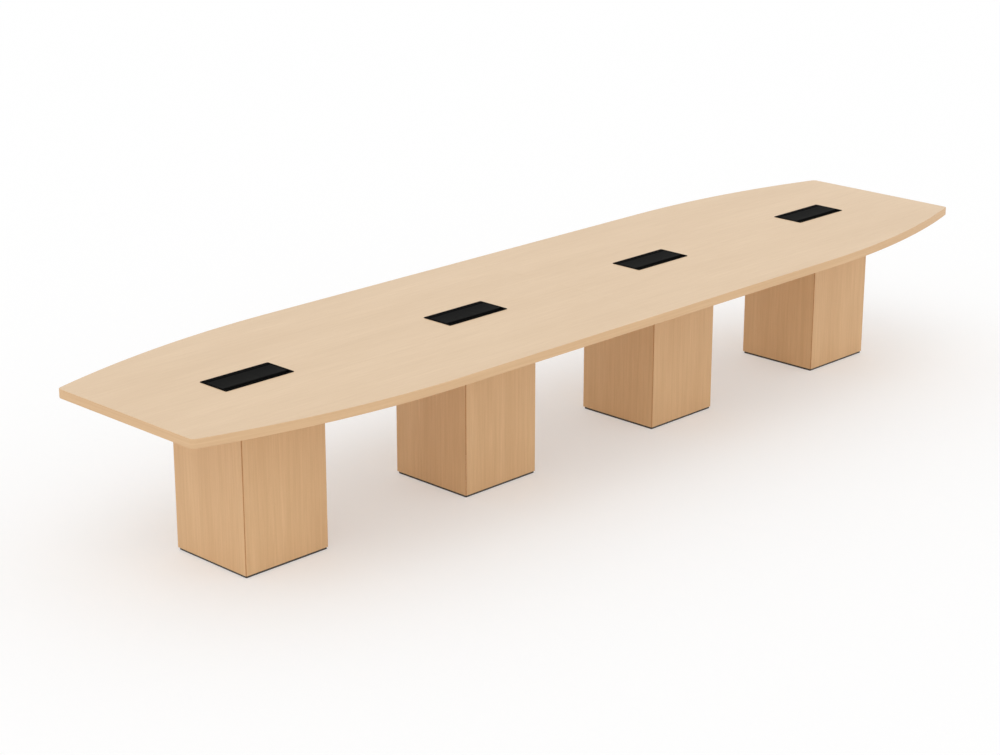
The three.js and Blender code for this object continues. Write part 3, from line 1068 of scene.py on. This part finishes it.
def makeGland(number, x):
    px, py = gland["place"]
    neckHead = tub["wall"] - tub["depth"]
    nutFoot = -tub["depth"] - tub["gap"] - gland["nutHeight"]
    tip = nutFoot - gland["tipHeight"]
    chamferWidth, chamferHeight = gland["tipChamfer"]
    taperWidth, taperHeight = gland["taper"]
    profile = [
        (gland["bore"], tip),
        (gland["tip"] - chamferWidth, tip),
        (gland["tip"], tip + chamferHeight),
        (gland["neck"] - taperWidth, tip + taperHeight),
        (gland["neck"], nutFoot),
        (gland["neck"], neckHead),
        (gland["bore"], neckHead),
    ]
    bm = bmesh.new()
    verts = [bm.verts.new((px + radius, py, z)) for radius, z in profile]
    edges = [bm.edges.new((verts[i - 1], verts[i])) for i in range(len(verts))]
    bmesh.ops.spin(bm, geom=verts + edges, cent=(px, py, 0), axis=(0, 0, 1), dvec=(0, 0, 0), angle=2 * pi,
                   steps=gland["sides"], use_merge=True)
    bmesh.ops.remove_doubles(bm, verts=bm.verts, dist=mergeGap)

    nut = bmesh.new()
    edges = circleLoop(nut, gland["nut"], hexagon)
    edges += circleLoop(nut, gland["neck"] + gland["nutBoreGap"], gland["nutBoreSides"])
    plateFromLoops(nut, edges, gland["nutHeight"])
    halfway = (gland["neck"] + gland["nut"]) / 2
    outside = [e for e in sharpEdges(nut) if all(v.co.xy.length > halfway for v in e.verts)]
    soften(nut, outside, gland["nutEdge"])
    bmesh.ops.translate(nut, verts=nut.verts, vec=(px, py, nutFoot))
    addCopy(bm, nut)
    addPiece(f"box{number}_cord_gland", bm, [blackPlastic], "table",
             [f"box{number}_gland"], (x, 0, worktop))


for number, x in zip(baseNumbers, stations):
    makeRim(number, x)
    makeLid(number, x)
    makeTub(number, x)
    makeSocketBlock(number, x)
    makeInserts(number, x)
    makeGland(number, x)
print("cable boxes made")


# Floor and light: a white floor that keeps a pale shadow, a white sky and a soft sun from the left
studio = {
    "floorHalf": 60.0,                            # metres
    "floorTone": (1.0, 1.0, 1.0, 1.0),
    "shadowLift": 0.31,                           # share of plain white in the floor as it is seen
    "skyTone": (1.0, 1.0, 1.0, 1.0),
    "skyStrength": 0.90,
    "sunFrom": (-0.55, -0.30, 1.0),
    "sunSpread": 50.0,                            # degrees
    "sunStrength": 0.36,
}


# 1 where a ray comes from the camera, a reflection or through glass, and 0 where it lights something
def seenRays(tree):
    rays = tree.nodes.new("ShaderNodeLightPath")
    seen = rays.outputs["Is Camera Ray"]
    for kind in ("Is Glossy Ray", "Is Transmission Ray"):
        add = tree.nodes.new("ShaderNodeMath")
        add.operation = "ADD"
        add.use_clamp = True
        tree.links.new(seen, add.inputs[0])
        tree.links.new(rays.outputs[kind], add.inputs[1])
        seen = add.outputs[0]
    return seen


floorMesh = bpy.data.meshes.new("floor")
bm = bmesh.new()
bmesh.ops.create_grid(bm, x_segments=1, y_segments=1, size=studio["floorHalf"])
bm.to_mesh(floorMesh)
bm.free()
floorFinish, floorTree, floorShader = newFinish("studio floor")
floorShader.inputs["Base Color"].default_value = studio["floorTone"]
floorShader.inputs["Roughness"].default_value = 1.0
floorShader.inputs["Specular IOR Level"].default_value = 0.0
white = floorTree.nodes.new("ShaderNodeEmission")
blend = floorTree.nodes.new("ShaderNodeMixShader")
lift = spread(floorTree, seenRays(floorTree), 0, 1, 0, studio["shadowLift"])
floorTree.links.new(lift, blend.inputs["Fac"])
floorTree.links.new(floorShader.outputs["BSDF"], blend.inputs[1])
floorTree.links.new(white.outputs["Emission"], blend.inputs[2])
floorTree.links.new(blend.outputs["Shader"], floorTree.nodes["Material Output"].inputs["Surface"])
floorMesh.materials.append(floorFinish)
floor = bpy.data.objects.new("floor", floorMesh)
scene.collection.objects.link(floor)

world = bpy.data.worlds.new("studio")
scene.world = world
world.use_nodes = True
worldTree = world.node_tree
sky = worldTree.nodes["Background"]
sky.inputs["Color"].default_value = studio["skyTone"]
strength = spread(worldTree, seenRays(worldTree), 0, 1, studio["skyStrength"], 1.0)
worldTree.links.new(strength, sky.inputs["Strength"])

sunData = bpy.data.lights.new("sun", "SUN")
sunData.energy = studio["sunStrength"]
sunData.angle = radians(studio["sunSpread"])
sun = bpy.data.objects.new("sun", sunData)
sun.matrix_world = (-Vector(studio["sunFrom"])).to_track_quat("-Z", "Y").to_matrix().to_4x4()
scene.collection.objects.link(sun)
print("studio made")
